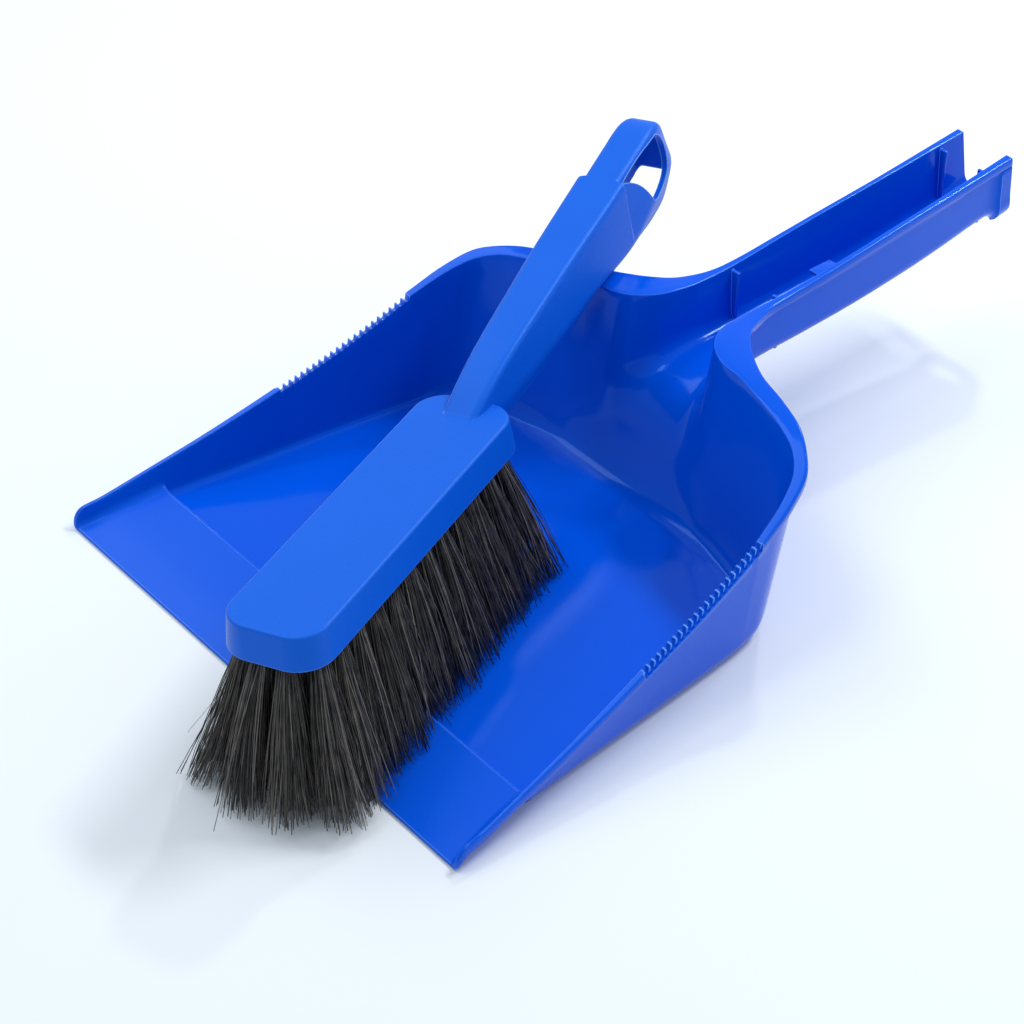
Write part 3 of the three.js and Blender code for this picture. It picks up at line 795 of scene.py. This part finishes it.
def pan_plastic():
    mat, tree, shader = material("pan_blue_plastic")
    co = coordinates(tree)
    broad = noise(tree, co, 14.0, 3.0)
    fine = noise(tree, co, 900.0, 3.0, 0.6)
    peel = noise(tree, co, 160.0, 2.0)
    base = blend_colour(tree, broad, (0.0, 0.078, 0.64), (0.0, 0.090, 0.71))
    # Painted highlight: outward edges of the pan are painted a lighter blue where bright edge highlights
    # would be.
    edge_highlit = blend_colour(tree, painted_edge_highlight(tree, 0.0006), base, (0.16, 0.40, 0.98))
    tree.links.new(edge_highlit, shader.inputs["Base Color"])
    split = tree.nodes.new("ShaderNodeSeparateXYZ")
    tree.links.new(co, split.inputs[0])
    on_ramp = remap(tree, split.outputs["Y"], (34.4 - BASE_MIDDLE) * MM, (34.6 - BASE_MIDDLE) * MM, 1.0, 0.0)
    low_down = remap(tree, split.outputs["Z"], 0.0066, 0.0078, 1.0, 0.0)
    matte = math_node(tree, "MULTIPLY", on_ramp, low_down)
    rough = remap(tree, fine, 0.3, 0.7, 0.09, 0.13)
    rough = math_node(tree, "ADD", rough, math_node(tree, "MULTIPLY", matte, 0.2))
    tree.links.new(rough, shader.inputs["Roughness"])
    grain = bump(tree, fine, 0.12, 0.00004)
    tree.links.new(bump(tree, peel, 0.1, 0.0002, grain), shader.inputs["Normal"])
    shader.inputs["IOR"].default_value = 1.49
    shader.inputs["Specular IOR Level"].default_value = 0.36
    shader.inputs["Specular Tint"].default_value = (0.22, 0.5, 1.0, 1)
    return mat


def brush_plastic():
    mat, tree, shader = material("brush_blue_plastic")
    co = coordinates(tree)
    broad = noise(tree, co, 22.0, 3.0)
    fine = noise(tree, co, 1300.0, 2.0, 0.6)
    base = blend_colour(tree, broad, (0.001, 0.098, 0.60), (0.002, 0.110, 0.67))
    # Painted highlight: outward edges of the brush are painted a lighter blue where bright edge highlights
    # would be.
    edge_highlit = blend_colour(tree, painted_edge_highlight(tree, 0.0008), base, (0.24, 0.46, 0.98))
    tree.links.new(edge_highlit, shader.inputs["Base Color"])
    tree.links.new(remap(tree, fine, 0.3, 0.7, 0.34, 0.46), shader.inputs["Roughness"])
    tree.links.new(bump(tree, fine, 0.5, 0.00014), shader.inputs["Normal"])
    shader.inputs["IOR"].default_value = 1.49
    shader.inputs["Specular IOR Level"].default_value = 0.34
    shader.inputs["Specular Tint"].default_value = (0.3, 0.55, 1.0, 1)
    return mat


def bristle_fibre():
    mat, tree, shader = material("charcoal_fibre")
    attribute = tree.nodes.new("ShaderNodeAttribute")
    attribute.attribute_name = "shade"
    co = coordinates(tree)
    mottled = noise(tree, co, 260.0, 2.0)
    tone = math_node(tree, "ADD", attribute.outputs["Fac"], remap(tree, mottled, 0.3, 0.7, -0.15, 0.15))
    shade = blend_colour(tree, tone, (0.009, 0.0085, 0.009), (0.24, 0.215, 0.19))
    tree.links.new(shade, shader.inputs["Base Color"])
    tree.links.new(remap(tree, mottled, 0.3, 0.7, 0.42, 0.6), shader.inputs["Roughness"])
    shader.inputs["IOR"].default_value = 1.5
    return mat


def floor_paint():
    mat, tree, shader = material("pale_floor")
    co = coordinates(tree)
    tone = blend_colour(tree, noise(tree, co, 3.0), (0.75, 0.80, 0.86), (0.79, 0.835, 0.88))
    tree.links.new(tone, shader.inputs["Base Color"])
    tree.links.new(remap(tree, noise(tree, co, 60.0), 0.3, 0.7, 0.75, 0.9), shader.inputs["Roughness"])
    shader.inputs["Specular IOR Level"].default_value = 0.2
    return mat


# ---- stage ----
def area_light(name, place, target, size, power):
    data = bpy.data.lights.new(name, "AREA")
    data.shape = "RECTANGLE"
    data.size, data.size_y = size
    data.energy = power
    lamp = bpy.data.objects.new(name, data)
    lamp.location = place
    lamp.rotation_euler = (Vector(target) - Vector(place)).to_track_quat("-Z", "Y").to_euler()
    bpy.context.scene.collection.objects.link(lamp)


def make_stage():
    half = 8.0
    points = [(-half, -half, -0.0004), (half, -half, -0.0004), (half, half, -0.0004), (-half, half, -0.0004)]
    floor = new_object("floor", points, [(0, 1, 2, 3)], 1.0)
    floor.data.materials.append(floor_paint())
    world = bpy.data.worlds.new("studio")
    bpy.context.scene.world = world
    world.use_nodes = True
    sky = world.node_tree.nodes["Background"]
    sky.inputs["Color"].default_value = (0.86, 0.93, 1.0, 1)
    sky.inputs["Strength"].default_value = 0.66
    area_light("key", (-1.0, -0.1, 1.2), (0, 0, 0), (0.7, 0.7), 4.0)
    area_light("top", (-0.3, -0.35, 1.3), (0, 0, 0), (0.4, 0.4), 2.5)
    area_light("rim", (0.15, 0.85, 1.1), (0, 0, 0), (0.5, 0.16), 8.5)
    area_light("spark", (-0.35, 0.75, 0.9), (0, 0.08, 0.05), (0.07, 0.07), 2.0)
    bpy.context.scene.view_settings.view_transform = "Standard"


# ---- assembly ----
make_camera()
make_stage()

pan = make_pan()
pan.data.materials.clear()
pan.data.materials.append(pan_plastic())
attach(pan, "pan")
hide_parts("dustpan_body")

stock = make_stock()
stock.data.materials.clear()
stock.data.materials.append(brush_plastic())
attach(stock, "brush")
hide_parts("brush_stock")

fibre = bristle_fibre()
for row, (across, start, count) in enumerate(ROWS, 1):
    for i in range(count):
        label = f"row{row}_{i + 1:02d}"
        paths, stray = fibre_paths(start + i * TUFT_PITCH, across)
        tuft = fibre_mesh(f"fibres_{label}", paths, stray)
        tuft.data.materials.append(fibre)
        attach(tuft, "brush")
        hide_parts(f"bristle_tuft_{label}")
